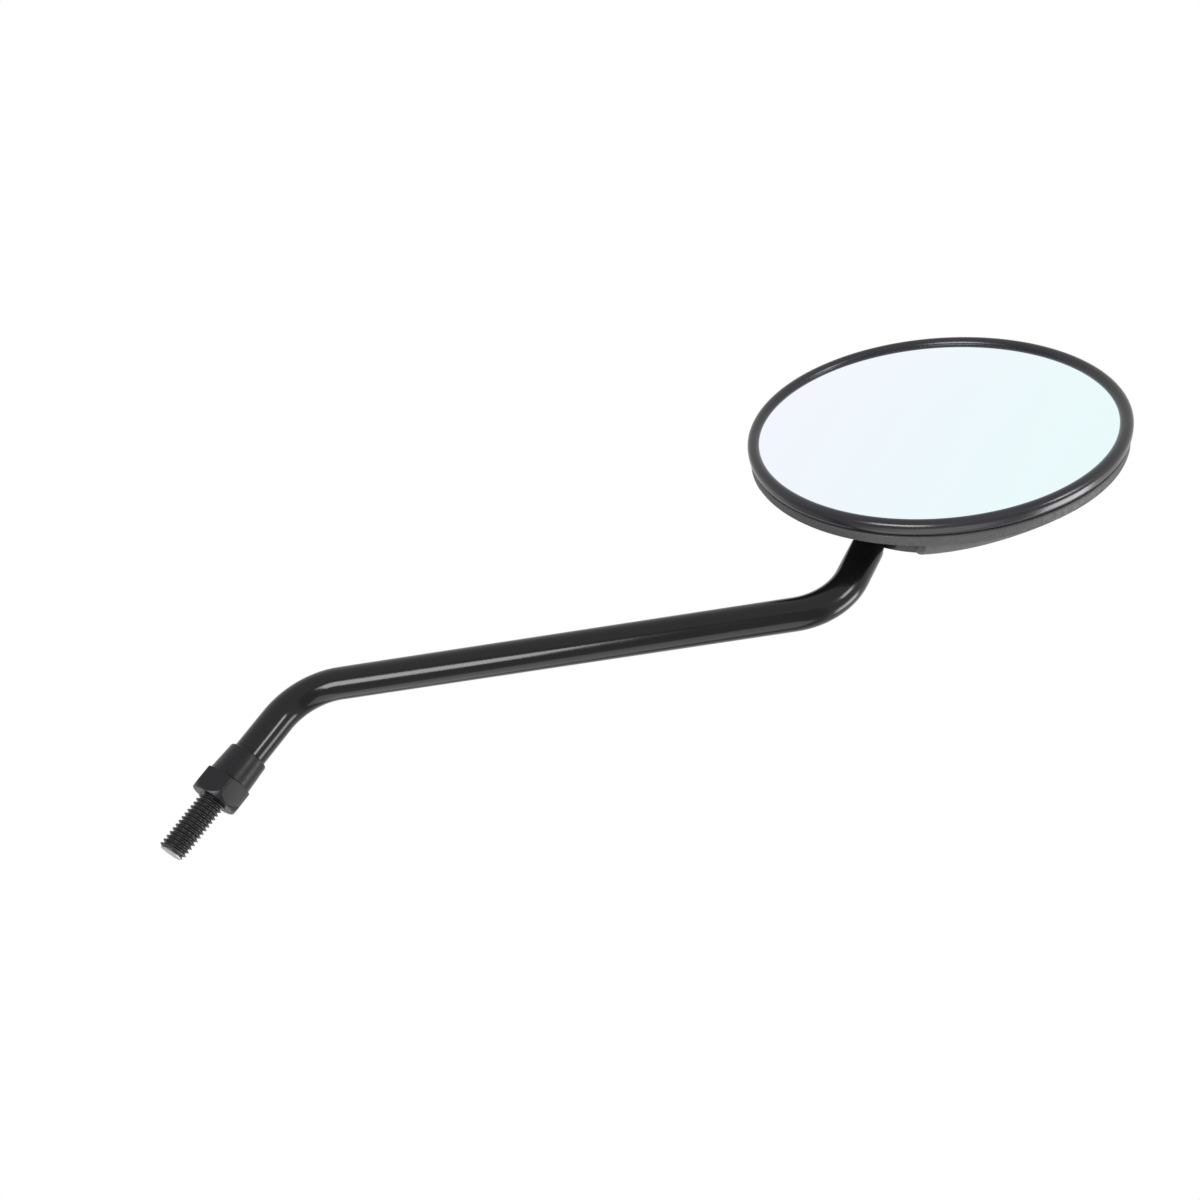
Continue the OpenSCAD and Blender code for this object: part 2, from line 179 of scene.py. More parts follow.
def black_steel(name, ior):
    m = Nodes(name)
    grain = m.noise(900, 4, 0.65)
    worn = m.span(m.noise(210, 5, 0.7), 0.6, 0.74, 0.0, 1.0)
    black = m.mix(m.math("MULTIPLY", worn, 0.4), (0.007, 0.007, 0.0085), (0.036, 0.035, 0.037))
    tip = m.span(m.axis("Z"), BARE_BELOW, BLACK_ABOVE, 1.0, 0.0)
    bare = m.math("MULTIPLY", tip, m.span(grain, 0.3, 0.6, 0.55, 1.0))
    m.put("Base Color", m.mix(bare, black, (0.42, 0.44, 0.42)))
    m.put("Metallic", m.math("MULTIPLY", tip, 0.8))
    m.put("Roughness", m.span(grain, 0.3, 0.7, 0.28, 0.4))
    m.put("IOR", ior)
    m.put("Normal", m.bump(grain, 0.1, 0.00005))
    return m.mat


def textured_plastic():
    m = Nodes("textured_plastic")
    cells = m.voronoi(1500)
    fine = m.noise(2300, 3, 0.6)
    coarse = m.noise(620, 3, 0.55)
    clouds = m.noise(26, 3, 0.55)
    height = m.math("ADD", m.math("MULTIPLY", cells, 0.55),
                    m.math("ADD", m.math("MULTIPLY", fine, 0.5), m.math("MULTIPLY", coarse, 0.7)))
    tone = m.mix(m.span(clouds, 0.35, 0.65, 0.0, 1.0), (0.036, 0.0365, 0.037), (0.045, 0.0455, 0.046))
    m.put("Base Color", m.mix(m.span(fine, 0.35, 0.7, 0.0, 0.4), tone, (0.075, 0.076, 0.077)))
    m.put("Roughness", m.span(coarse, 0.35, 0.65, 0.52, 0.66))
    m.put("Specular IOR Level", 0.5)
    m.put("Normal", m.bump(height, 0.55, 0.00022))
    return m.mat


def satin_bezel():
    m = Nodes("satin_black_trim")
    fine = m.noise(1900, 3, 0.6)
    clouds = m.noise(45, 3, 0.5)
    patch = m.span(clouds, 0.35, 0.65, 0.0, 1.0)
    m.put("Base Color", m.mix(patch, (0.010, 0.010, 0.0125), (0.015, 0.015, 0.018)))
    m.put("Roughness", m.span(clouds, 0.3, 0.7, 0.2, 0.28))
    m.put("IOR", 1.45)
    m.put("Normal", m.bump(fine, 0.02, 0.00005))
    return m.mat


def mirror():
    m = Nodes("mirror")
    smear = m.noise(14, 3, 0.6, 0.6)
    # Painted reflection: the glass's colour shades from lavender to cyan across X, standing in for the
    # surroundings it mirrors
    side = m.span(m.axis("X"), 0.08, 0.19, 0.0, 1.0)
    m.put("Base Color", m.mix(side, (0.9, 0.91, 0.99), (0.82, 0.96, 0.97)))
    m.put("Metallic", 1.0)
    m.put("Roughness", m.span(smear, 0.35, 0.7, 0.015, 0.035))
    return m.mat


def seat_plastic():
    m = Nodes("seat_plastic")
    clouds = m.noise(160, 3, 0.5)
    m.put("Base Color", m.mix(clouds, (0.62, 0.6, 0.53), (0.7, 0.68, 0.61)))
    m.put("Roughness", m.span(clouds, 0.3, 0.7, 0.34, 0.45))
    m.put("Subsurface Weight", 0.05)
    m.put("Normal", m.bump(m.noise(1400, 2, 0.5), 0.2, 0.00004))
    return m.mat


def zinc_steel():
    m = Nodes("zinc_steel")
    spangle = m.voronoi(420)
    brushed = m.noise(1200, 4, 0.6)
    m.put("Base Color", m.mix(spangle, (0.5, 0.5, 0.48), (0.66, 0.66, 0.63)))
    m.put("Metallic", 1.0)
    m.put("Roughness", m.span(brushed, 0.3, 0.7, 0.28, 0.44))
    m.put("Normal", m.bump(brushed, 0.3, 0.00004))
    return m.mat


def pad_foam():
    m = Nodes("pad_foam")
    pores = m.voronoi(900)
    m.put("Base Color", m.mix(pores, (0.02, 0.02, 0.02), (0.06, 0.06, 0.06)))
    m.put("Roughness", m.span(pores, 0.0, 0.6, 0.8, 0.95))
    m.put("Normal", m.bump(pores, 0.7, 0.0003))
    return m.mat


def dark_screw():
    m = Nodes("dark_steel")
    grain = m.noise(1100, 4, 0.65)
    rust = m.span(m.noise(330, 4, 0.6), 0.5, 0.68, 0.0, 1.0)
    m.put("Base Color", m.mix(rust, (0.05, 0.043, 0.04), (0.12, 0.075, 0.05)))
    m.put("Metallic", 0.75)
    m.put("Roughness", m.span(grain, 0.3, 0.7, 0.36, 0.55))
    m.put("Normal", m.bump(grain, 0.4, 0.00006))
    return m.mat


PAINT = black_paint()
NUT = black_steel("black_steel", 1.34)
THREAD = black_steel("black_thread", 1.6)
PLASTIC = textured_plastic()
TRIM = satin_bezel()
MIRROR = mirror()
SEAT = seat_plastic()
ZINC = zinc_steel()
FOAM = pad_foam()
SCREW = dark_screw()


# ---------------------------------------------------------------- mesh helpers
def build(name, verts, faces, mat, body, matrix=None, crease=32, replaces=()):
    """A mesh given in mm, placed in the row frame, smooth except over creases."""
    data = bpy.data.meshes.new(name)
    place = Matrix.Scale(MM, 4) @ matrix if matrix is not None else Matrix.Scale(MM, 4)
    data.from_pydata([place @ Vector(v) for v in verts], [], faces)
    data.validate()
    data.shade_smooth()
    data.set_sharp_from_angle(angle=math.radians(crease))
    data.materials.append(mat)
    obj = bpy.data.objects.new(name, data)
    bpy.context.scene.collection.objects.link(obj)
    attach(obj, body)
    if replaces:
        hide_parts(*replaces)


def bridge(rows, count, closed=False):
    """Quads between successive rings of count points each."""
    faces = []
    for k in range(rows if closed else rows - 1):
        lo, hi = k * count, ((k + 1) % rows) * count
        for i in range(count):
            j = (i + 1) % count
            faces.append((lo + i, lo + j, hi + j, hi + i))
    return faces


def lathe(profile, segments, closed=True):
    """Turns a profile of (radius, height) points about the axis; cap() closes the ends of an open one."""
    verts = []
    for r, z in profile:
        for i in range(segments):
            a = 2 * math.pi * i / segments
            verts.append((r * math.cos(a), r * math.sin(a), z))
    return verts, bridge(len(profile), segments, closed)


def cap(verts, faces, start, count, centre, outward):
    """Fans a ring of points to one more point in the middle."""
    apex = len(verts)
    verts.append(centre)
    for i in range(count):
        a, b = start + i, start + (i + 1) % count
        faces.append((a, b, apex) if outward else (b, a, apex))


def arc(cx, cz, r, a0, a1, steps):
    """Points of an arc from angle a0 to a1, in degrees."""
    return [(cx + r * math.cos(math.radians(a0 + (a1 - a0) * k / steps)),
             cz + r * math.sin(math.radians(a0 + (a1 - a0) * k / steps))) for k in range(steps + 1)]


def soft_min(a, b, k):
    """The smaller of two values, blended smoothly where they are within k of each other."""
    h = max(k - abs(a - b), 0.0) / k
    return min(a, b) - h * h * k / 4


def along(table, z):
    """Value of a broken line through (position, value) points."""
    for (z0, v0), (z1, v1) in zip(table, table[1:]):
        if z <= z1:
            return v0 + (v1 - v0) * (z - z0) / max(z1 - z0, 1e-9)
    return table[-1][1]


# ---------------------------------------------------------------- stem: one bent, painted rod with its ball
ROUND = 64
# The painted rod starts inside the nut's skirt, on a thinner foot
ROD_START = NUT_Z + 0.72 * NUT_LENGTH
ROD_FOOT = 1.9
LEG_STEPS = 7
BEND_STEPS = 40
ARM_STEPS = 24
BALL_STEPS = 24


def stem_sections():
    """(x, z, lean from +Z towards +X, radius) of each ring along the rod."""
    rings = [(0, ROD_START - ROD_FOOT, 0, 3.5), (0, ROD_START - 0.7, 0, 3.6),
             (0, ROD_START - 0.1, 0, STEM_R - 0.1), (0, ROD_START + 0.1, 0, STEM_R)]
    z1 = LOW_Z - TANGENT
    for k in range(1, LEG_STEPS):
        rings.append((0, ROD_START + 0.1 + (z1 - ROD_START - 0.1) * k / LEG_STEPS, 0, STEM_R))
    for k in range(BEND_STEPS + 1):
        b = BEND * k / BEND_STEPS
        rings.append((BEND_R - BEND_R * math.cos(b), z1 + BEND_R * math.sin(b), b, STEM_R))
    a = (TANGENT * math.sin(BEND), LOW_Z + TANGENT * math.cos(BEND))
    e = (HIGH_X - TANGENT * math.sin(BEND), HIGH_Z - TANGENT * math.cos(BEND))
    for k in range(1, ARM_STEPS):
        x = a[0] + (e[0] - a[0]) * k / ARM_STEPS
        z = a[1] + (e[1] - a[1]) * k / ARM_STEPS
        rings.append((x, z, BEND, STEM_R))
    z2 = HIGH_Z + TANGENT
    for k in range(BEND_STEPS + 1):
        b = BEND * (1 - k / BEND_STEPS)
        rings.append((HIGH_X - BEND_R + BEND_R * math.cos(b), z2 - BEND_R * math.sin(b), b, STEM_R))
    cone = BALL_Z - NECK_LENGTH - CONE_LENGTH
    for k in range(1, 5):
        rings.append((HIGH_X, z2 + (cone - 0.25 - z2) * k / 4, 0, STEM_R))
    rings.append((HIGH_X, cone + 0.25, 0, STEM_R - 0.08))
    for k in range(1, 6):
        rings.append((HIGH_X, cone + CONE_LENGTH * k / 5.5, 0, STEM_R + (NECK_R - STEM_R) * k / 5.5))
    rings.append((HIGH_X, cone + CONE_LENGTH + 0.4, 0, NECK_R))
    low = -math.sqrt(BALL_R ** 2 - NECK_R ** 2)
    rings.append((HIGH_X, BALL_Z + low - 0.5, 0, NECK_R))
    start = math.asin(low / BALL_R)
    for k in range(BALL_STEPS):
        b = start + (math.pi / 2 - start) * k / BALL_STEPS
        rings.append((HIGH_X, BALL_Z + BALL_R * math.sin(b), 0, BALL_R * math.cos(b)))
    return rings


def make_stem():
    verts = []
    rings = stem_sections()
    for x, z, lean, r in rings:
        for i in range(ROUND):
            a = 2 * math.pi * i / ROUND
            u, v = r * math.cos(a), r * math.sin(a)
            verts.append((x + u * math.cos(lean), v, z - u * math.sin(lean)))
    faces = bridge(len(rings), ROUND)
    cap(verts, faces, (len(rings) - 1) * ROUND, ROUND, (HIGH_X, 0, BALL_Z + BALL_R), True)
    cap(verts, faces, 0, ROUND, (0, 0, ROD_START - ROD_FOOT), False)
    build("stem_rod", verts, faces, PAINT, "stem", replaces=["stem"])


PITCH = 1.25
THREAD_TURN = 72
THREAD_RUN_IN = 1.6
THREAD_WELD = 0.004
THREAD_SLIVER = 0.002
CORE_R = 3.65
# Axial place in one pitch, and depth below the crest
THREAD_FORM = [(0.0, 0.05), (0.03, 0.0), (0.095, 0.0), (0.125, 0.05), (0.28, 0.4), (0.43, 0.72), (0.5, 0.79),
               (0.6, 0.79), (0.67, 0.72), (0.83, 0.4)]


def thread_depth(offset):
    """Depth below the crest at an axial place, measured from the start of any turn."""
    return along(THREAD_FORM + [(1.0, THREAD_FORM[0][1])], (offset / PITCH) % 1.0)


def thread_points():
    """A single-start M8 x 1.25 thread, chamfered at the tip and running up into the nut."""
    bottom, top = -STUD_LENGTH / 2, NUT_Z + THREAD_RUN_IN
    rows = []
    turns = int((top - bottom) / PITCH) + 3
    for n in range(-1, turns):
        for share, depth in THREAD_FORM:
            rows.append((bottom + (n + share - 1) * PITCH, depth))
    verts = []
    for z0, depth in rows:
        for i in range(THREAD_TURN + 1):
            a = 2 * math.pi * i / THREAD_TURN
            z = z0 + PITCH * i / THREAD_TURN
            d = depth
            if z < bottom or z > top:
                z = min(max(z, bottom), top)
                d = thread_depth(z - PITCH * i / THREAD_TURN - bottom)
            r = min(STUD_R - d, STUD_R - STUD_CHAMFER + (z - bottom))
            verts.append((r * math.cos(a), r * math.sin(a), z))
    faces = []
    wide = THREAD_TURN + 1
    for k in range(len(rows) - 1):
        for i in range(THREAD_TURN):
            lo, hi = k * wide + i, (k + 1) * wide + i
            faces.append((lo, lo + 1, hi + 1, hi))
    return verts, faces


def make_thread():
    """Welds the thread's seam and closes its ends."""
    verts, faces = thread_points()
    bm = bmesh.new()
    for v in verts:
        bm.verts.new(v)
    bm.verts.ensure_lookup_table()
    for f in faces:
        bm.faces.new([bm.verts[i] for i in f])
    bmesh.ops.remove_doubles(bm, verts=bm.verts, dist=THREAD_WELD)
    bmesh.ops.dissolve_degenerate(bm, edges=bm.edges, dist=THREAD_SLIVER)
    edges = [e for e in bm.edges if e.is_boundary]
    bmesh.ops.holes_fill(bm, edges=edges, sides=0)
    bmesh.ops.recalc_face_normals(bm, faces=bm.faces)
    bm.verts.index_update()
    out_v = [tuple(v.co) for v in bm.verts]
    out_f = [tuple(v.index for v in f.verts) for f in bm.faces]
    bm.free()
    build("stud_thread", out_v, out_f, THREAD, "stem", crease=40)


make_stem()
make_thread()


# ---------------------------------------------------------------- lock nut
def rounded(points, sizes, steps=4):
    """A closed profile with each corner cut back by its size and bent round in a few steps."""
    out = []
    for k, (p, size) in enumerate(zip(points, sizes)):
        before, after = Vector(points[k - 1]), Vector(points[(k + 1) % len(points)])
        p = Vector(p)
        back, on = before - p, after - p
        a = p + back * min(size / back.length, 0.45)
        b = p + on * min(size / on.length, 0.45)
        for step in range(steps + 1):
            t = step / steps
            out.append(a * (1 - t) ** 2 + p * (2 * t * (1 - t)) + b * t * t)
    return out


# Places of the points along one flat of the hexagon, closer together at its corners
FLAT_SHARES = (0, 0.012, 0.028, 0.05, 0.08, 0.12, 0.18, 0.26, 0.34, 0.42, 0.5, 0.58, 0.66, 0.74, 0.82, 0.88, 0.92,
               0.95, 0.972, 0.988)
NUT_EDGES = [0.1, 0.12, 0.2, 0.16, 0.1, 0.2, 0.12, 0.12, 0.08, 0.1, 0.1, 0.1]


def make_nut():
    corner = NUT_FLATS / 2 / math.cos(math.radians(30))
    low_r, high_r = NUT_FLATS / 2 - 0.15, NUT_FLATS / 2 - 0.1
    steep = (corner + 0.1 - low_r) / NUT_CHAMFER
    flat = (corner + 0.1 - high_r) / 0.6
    angles = [(side + share) * math.pi / 3 for side in range(6) for share in FLAT_SHARES]
    columns = []
    for a in angles:
        hexagon = NUT_FLATS / 2 / math.cos((a % (math.pi / 3)) - math.pi / 6)
        hexagon = soft_min(hexagon, corner - 0.06, 0.3)
        points = [(STUD_R + 0.4, 0), (low_r, 0), (hexagon, (hexagon - low_r) / steep),
                  (hexagon, NUT_HEX - (hexagon - high_r) / flat), (high_r, NUT_HEX), (SKIRT_R, NUT_HEX + 0.02),
                  (SKIRT_TIP_R, NUT_LENGTH - 0.3), (SKIRT_TIP_R - 0.3, NUT_LENGTH), (SKIRT_BORE_R, NUT_LENGTH),
                  (SKIRT_BORE_R, SKIRT_BORE_FROM), (CORE_R, SKIRT_BORE_FROM), (CORE_R, 0.8)]
        columns.append(rounded(points, NUT_EDGES))
    verts = []
    for k in range(len(columns[0])):
        for a, column in zip(angles, columns):
            r, z = column[k]
            verts.append((r * math.cos(a + NUT_TURN), r * math.sin(a + NUT_TURN), NUT_Z + z))
    faces = bridge(len(columns[0]), len(angles), closed=True)
    build("lock_nut_body", verts, faces, NUT, "stem", crease=38, replaces=["lock_nut"])


make_nut()


# ---------------------------------------------------------------- bezel and glass
BEZEL_POINTS = 256
GLASS_POINTS = 192


def make_bezel():
    bead = (HEAD_R - SIGHT_R) / 2
    cx, cz = HEAD_R - bead, bead - BEAD_HEIGHT
    low = math.degrees(math.asin(cz / bead))
    skirt_r = BEZEL_BORE_R + SKIRT_WALL
    start = math.degrees(math.acos((skirt_r - cx) / bead))
    profile = [(BEZEL_BORE_R, 0.05), (BEZEL_BORE_R, 2.0), (BEZEL_BORE_R, SKIRT_DEPTH), (skirt_r, SKIRT_DEPTH)]
    profile += arc(cx, cz + BEAD_SIDE, bead, start, 0, 28) + arc(cx, cz, bead, 0, -180 + low, 60)
    verts, faces = lathe(profile, BEZEL_POINTS)
    build("bezel_ring", verts, faces, TRIM, "head", HEAD, replaces=["bezel"])


def sphere_depth(r, curve, centre):
    """Depth of a convex sphere of that radius, at distance r from the glass's axis."""
    return centre - math.sqrt(curve * curve - r * r)


def make_glass():
    centre = GLASS_CURVE - SIGHT_R ** 2 / (2 * GLASS_CURVE)
    radii = [2 + (GLASS_R - 0.25 - 2) * k / 20 for k in range(21)]
    front = [(r, sphere_depth(r, GLASS_CURVE, centre)) for r in radii]
    back = [(r, sphere_depth(r, GLASS_CURVE - GLASS_THICKNESS, centre)) for r in reversed(radii)]
    edge = [(GLASS_R, front[-1][1] + 0.28), (GLASS_R, back[0][1] - 0.28)]
    profile = front + edge + back
    verts, faces = lathe(profile, GLASS_POINTS, closed=False)
    cap(verts, faces, 0, GLASS_POINTS, (0, 0, sphere_depth(0, GLASS_CURVE, centre)), False)
    cap(verts, faces, (len(profile) - 1) * GLASS_POINTS, GLASS_POINTS,
        (0, 0, sphere_depth(0, GLASS_CURVE - GLASS_THICKNESS, centre)), True)
    build("mirror_disc", verts, faces, MIRROR, "head", HEAD, replaces=["mirror_glass"])


make_bezel()
make_glass()


# ---------------------------------------------------------------- housing: domed shell with a rounded-edge pocket
HOUSING_R = 56.1
HOUSING_FOOT = 3.12
GROOVE_R = 55.4
GROOVE_TOP = 4.7
BAND_DEPTH = 6.1
DOME_HEIGHT = 25.5
DOME_SHIFT = 25.5
DOME_POWER = 2.1
DOME_EXPONENT = 0.95
LIP_REACH = 35.0
LIP_HALF = 17.0
FLOOR_DEPTH = 4.0
FLOOR_WALL = 1.4
BAND_WIDTH = 2.8
WALL = 2.2
TONGUE_R = 54.25
TONGUE_FRONT = 2.0
SOCKET_R = 7.56
SCREW_AT = (28.0, 15.4)
PEG_AT = (16.0, -15.4)
COUNTERBORE_R = 4.3
COUNTERBORE_FLOOR = 19.8
PLATE_REAR = 11.3
TRAVEL_GAP = 0.35
TILT_AWAY = math.radians(11.5)
TILT_NEAR = math.radians(6.0)
ROLL_LIMIT = math.radians(25.0)
EDGE_ROUND = 0.6
FOOT_ROUND = 0.5
HALF_FLARE = math.radians(22.5)
POCKET_DRAFT = 0.22
BAND_EDGE_TO = 2.95
PEG_R = 1.9
PEG_BOSS_R = 4.4
SCREW_HOLE_R = 2.25
OVER_CONE = 5.0
CONE_POINTS = 40
FAN_STEPS = 24
SKIN_WELD = 0.0008
SKIN_SLIVER = 0.0002
RIM_STEP = math.radians(1.6)
BORE_POINTS = 56
DOME_POINTS = 200
FLOOR_EDGE_STEPS = 40
# Both are deeper than the dome, for tools that pass through it
BEYOND = 40.0
POCKET_TOP = 60.0


def dome_reach(a, rim):
    """Distance in plan from the dome's crown to a rim of that radius, in direction a."""
    return -DOME_SHIFT * math.cos(a) + math.sqrt(rim * rim - (DOME_SHIFT * math.sin(a)) ** 2)


def dome_depth(u, v):
    a = math.atan2(v, u - DOME_SHIFT)
    share = min(math.hypot(u - DOME_SHIFT, v) / dome_reach(a, HOUSING_R), 1.0)
    return BAND_DEPTH + (DOME_HEIGHT - BAND_DEPTH) * (1 - share ** DOME_POWER) ** DOME_EXPONENT


def rounding(x, r):
    """Drop of a quarter-round edge at distance x from its wall."""
    return r - math.sqrt(max(r * r - (r - x) ** 2, 0.0)) if x < r else 0.0


def pocket_floor(u, v):
    """Depth of the pocket's floor, with the band standing round its outside."""
    r = math.hypot(u, v)
    inner = HOUSING_R - BAND_WIDTH
    step = min(max((r - (inner - 0.06)) / 0.12, 0.0), 1.0)
    depth = FLOOR_DEPTH + (BAND_DEPTH - FLOOR_DEPTH) * step
    if step == 1.0:
        depth -= rounding(max(r - inner - 0.06, 0.0), 0.2) + rounding(HOUSING_R - r, 0.3)
    return depth


# Radii of the points down the pocket's sides, close together at the rim and at the band's inner edge
SIDE_RADII = [HOUSING_R - d for d in (0.0, 0.02, 0.1, 0.2, 0.3, 0.7, 1.2, 1.8, 2.3, 2.54, 2.6, 2.67, 2.72, 2.74,
                                      2.78, 2.82, 2.86, 3.0, 3.4, 4.2)] + [51.0 - k for k in range(10)] + [41.2]
LIP_STEPS = 44
CORNER_STEPS = 6


def pocket_line(d):
    """The pocket's edge in plan, moved by d towards the dome, from the rim round the lip to the rim."""
    corner = (LIP_REACH - d, LIP_HALF + d * math.tan(HALF_FLARE))
    e = (math.sqrt(0.5), math.sqrt(0.5))
    along_e = corner[0] * e[0] + corner[1] * e[1]
    size = corner[0] ** 2 + corner[1] ** 2
    side = []
    for r in SIDE_RADII:
        t = -along_e + math.sqrt(along_e * along_e - size + r * r)
        side.append((corner[0] + t * e[0], corner[1] + t * e[1]))
    bend = max(0.8 + d, 0.12)
    back = bend * math.tan(HALF_FLARE)
    centre = (corner[0] + bend, corner[1] - back)
    turn = []
    for k in range(CORNER_STEPS + 1):
        a = math.radians(135 + 45 * k / CORNER_STEPS)
        turn.append((centre[0] + bend * math.cos(a), centre[1] + bend * math.sin(a)))
    lip = []
    top = centre[1]
    for k in range(1, LIP_STEPS):
        lip.append((corner[0], top - 2 * top * k / LIP_STEPS))
    upper = side + turn
    lower = [(u, -v) for u, v in reversed(upper)]
    return upper + lip + lower


def skin_rows():
    """Rows of points across the pocket's edge, from the dome down its wall onto the floor."""
    rows = []
    walls = []
    for u, v in pocket_line(0.0):
        top, low = dome_depth(u, v), pocket_floor(u, v)
        room = max(top - low, 0.0)
        walls.append((top, low, min(EDGE_ROUND, 0.45 * room), min(FOOT_ROUND, 0.45 * room)))
    for d in (1.3, 0.8, 0.6, 0.44, 0.3, 0.18, 0.09, 0.03, 0.0):
        rows.append([(u, v, dome_depth(u, v) - rounding(d, w[2])) for (u, v), w in zip(pocket_line(d), walls)])
    for t in (0.12, 0.35, 0.65, 0.9, 1.0):
        rows.append([(u, v, (w[0] - w[2]) * (1 - t) + (w[1] + w[3]) * t)
                     for (u, v), w in zip(pocket_line(-POCKET_DRAFT * t), walls)])
    for x in (0.03, 0.1, 0.2, 0.34, 0.5, 0.8):
        rows.append([(u, v, pocket_floor(u, v) + rounding(x, w[3]))
                     for (u, v), w in zip(pocket_line(-POCKET_DRAFT - x), walls)])
    return rows


def fill_region(coords, edges, depths, height, hole=range(0)):
    """Triangles over a plan region. The first points have depths of their own and the others get height().
    hole holds the numbers of the points round a hole, and no triangle is made between those alone."""
    out, _, tris, origin, _, _ = delaunay_2d_cdt([Vector(p) for p in coords], edges, [], 1, 1e-5)
    verts = []
    for p, source in zip(out, origin):
        known = [depths[i] for i in source if i < len(depths)]
        verts.append((p[0], p[1], known[0] if known else height(p[0], p[1])))
    faces = []
    for t in tris:
        if all(any(i in hole for i in origin[corner]) for corner in t):
            continue
        a, b, c = (out[i] for i in t)
        area = (b[0] - a[0]) * (c[1] - a[1]) - (b[1] - a[1]) * (c[0] - a[0])
        faces.append(tuple(t) if area > 0 else tuple(reversed(t)))
    return verts, faces


def loop_edges(start, count):
    """Edges that join points start to start + count - 1 into a closed line."""
    return [(start + i, start + (i + 1) % count) for i in range(count)]


def pocket_distance(u, v):
    """Signed distance in plan from the pocket's edge, positive on the dome's side."""
    side = ((abs(v) - LIP_HALF) - (u - LIP_REACH)) * math.sqrt(0.5)
    return max(LIP_REACH - u, side)


class Shell:
    """Collects surface pieces in head coordinates and welds them into one mesh."""

    def __init__(self):
        self.verts, self.faces = [], []

    def add(self, verts, faces):
        start = len(self.verts)
        self.verts += verts
        self.faces += [tuple(start + i for i in f) for f in faces]

    def mesh(self, name):
        bm = bmesh.new()
        made = [bm.verts.new(v) for v in self.verts]
        for f in self.faces:
            bm.faces.new([made[i] for i in f])
        bmesh.ops.remove_doubles(bm, verts=bm.verts, dist=SKIN_WELD)
        bmesh.ops.dissolve_degenerate(bm, edges=bm.edges, dist=SKIN_SLIVER)
        bmesh.ops.triangulate(bm, faces=bm.faces)
        bmesh.ops.recalc_face_normals(bm, faces=bm.faces)
        data = bpy.data.meshes.new(name)
        bm.to_mesh(data)
        bm.free()
        return data


def rim_arc(a0, a1, w):
    """Points on the housing's rim strictly between two angles, at depth w."""
    n = max(int(abs(a1 - a0) / RIM_STEP), 2)
    angles = [a0 + (a1 - a0) * k / n for k in range(1, n)]
    return [(HOUSING_R * math.cos(a), HOUSING_R * math.sin(a), w) for a in angles]


def bore_ring(r):
    """Plan points of a circle about the clamp screw."""
    angles = [2 * math.pi * k / BORE_POINTS for k in range(BORE_POINTS)]
    return [(SCREW_AT[0] + r * math.cos(a), SCREW_AT[1] + r * math.sin(a)) for a in angles]


def dome_points():
    """Plan points inside the dome, thinned towards its crown, clear of the pocket and of the counterbore."""
    points = []
    for share in [0.996, 0.99, 0.98, 0.965, 0.945, 0.92, 0.89] + [0.86 - 0.04 * k for k in range(21)]:
        for k in range(DOME_POINTS):
            if (share < 0.5 and k % 2) or (share < 0.2 and k % 8):
                continue
            a = 2 * math.pi * k / DOME_POINTS
            d = share * dome_reach(a, HOUSING_R)
            u, v = DOME_SHIFT + d * math.cos(a), d * math.sin(a)
            off_screw = math.hypot(u - SCREW_AT[0], v - SCREW_AT[1])
            if pocket_distance(u, v) > 1.9 and off_screw > COUNTERBORE_R + 2.0:
                points.append((u, v))
    return points + [(DOME_SHIFT, 0.0)]


def pocket_strip(rows):
    """The pocket's edge, wall and foot as one open strip of quads."""
    width = len(rows[0])
    faces = []
    for k in range(len(rows) - 1):
        for i in range(width - 1):
            a, b = k * width + i, (k + 1) * width + i
            faces.append((a, a + 1, b + 1, b))
    return [p for row in rows for p in row], faces


def dome_skin(outline, hole):
    rim = outline + hole
    edges = loop_edges(0, len(outline)) + loop_edges(len(outline), len(hole))
    coords = [p[:2] for p in rim] + dome_points()
    return fill_region(coords, edges, [p[2] for p in rim], dome_depth, range(len(outline), len(rim)))


def counterbore(mouth):
    """The counterbore's rounded mouth, its wall and its floor, from the dome inwards."""
    rings = [mouth]
    for x in (0.6, 0.3, 0.15, 0.06, 0.0):
        rings.append([(u, v, dome_depth(u, v) - rounding(x, 0.45)) for u, v in bore_ring(COUNTERBORE_R + x)])
    for inset, lift in ((0.05, 0.3), (0.13, 0.08), (0.35, 0.0)):
        rings.append([(u, v, COUNTERBORE_FLOOR + lift) for u, v in bore_ring(COUNTERBORE_R - inset)])
    verts = [p for ring in rings for p in ring]
    faces = [(b, a, d, c) for a, b, c, d in bridge(len(rings), BORE_POINTS)]
    cap(verts, faces, (len(rings) - 1) * BORE_POINTS, BORE_POINTS, (*SCREW_AT, COUNTERBORE_FLOOR), True)
    return verts, faces


def floor_skin(last, near):
    """The pocket's floor, with the band's inner edge running over it from wall to wall."""
    outline = list(reversed(last)) + list(reversed(near))
    coords = [p[:2] for p in outline]
    edges = loop_edges(0, len(outline))
    for k, r in enumerate(SIDE_RADII):
        if k == 0 or r <= HOUSING_R - BAND_EDGE_TO:
            continue
        a = math.atan2(last[k][1], last[k][0])
        previous = len(last) - 1 - k
        for i in range(1, FLOOR_EDGE_STEPS):
            turn = a - 2 * a * i / FLOOR_EDGE_STEPS
            coords.append((r * math.cos(turn), r * math.sin(turn)))
            edges.append((previous, len(coords) - 1))
            previous = len(coords) - 1
        edges.append((previous, k))
    return fill_region(coords, edges, [p[2] for p in outline], pocket_floor)


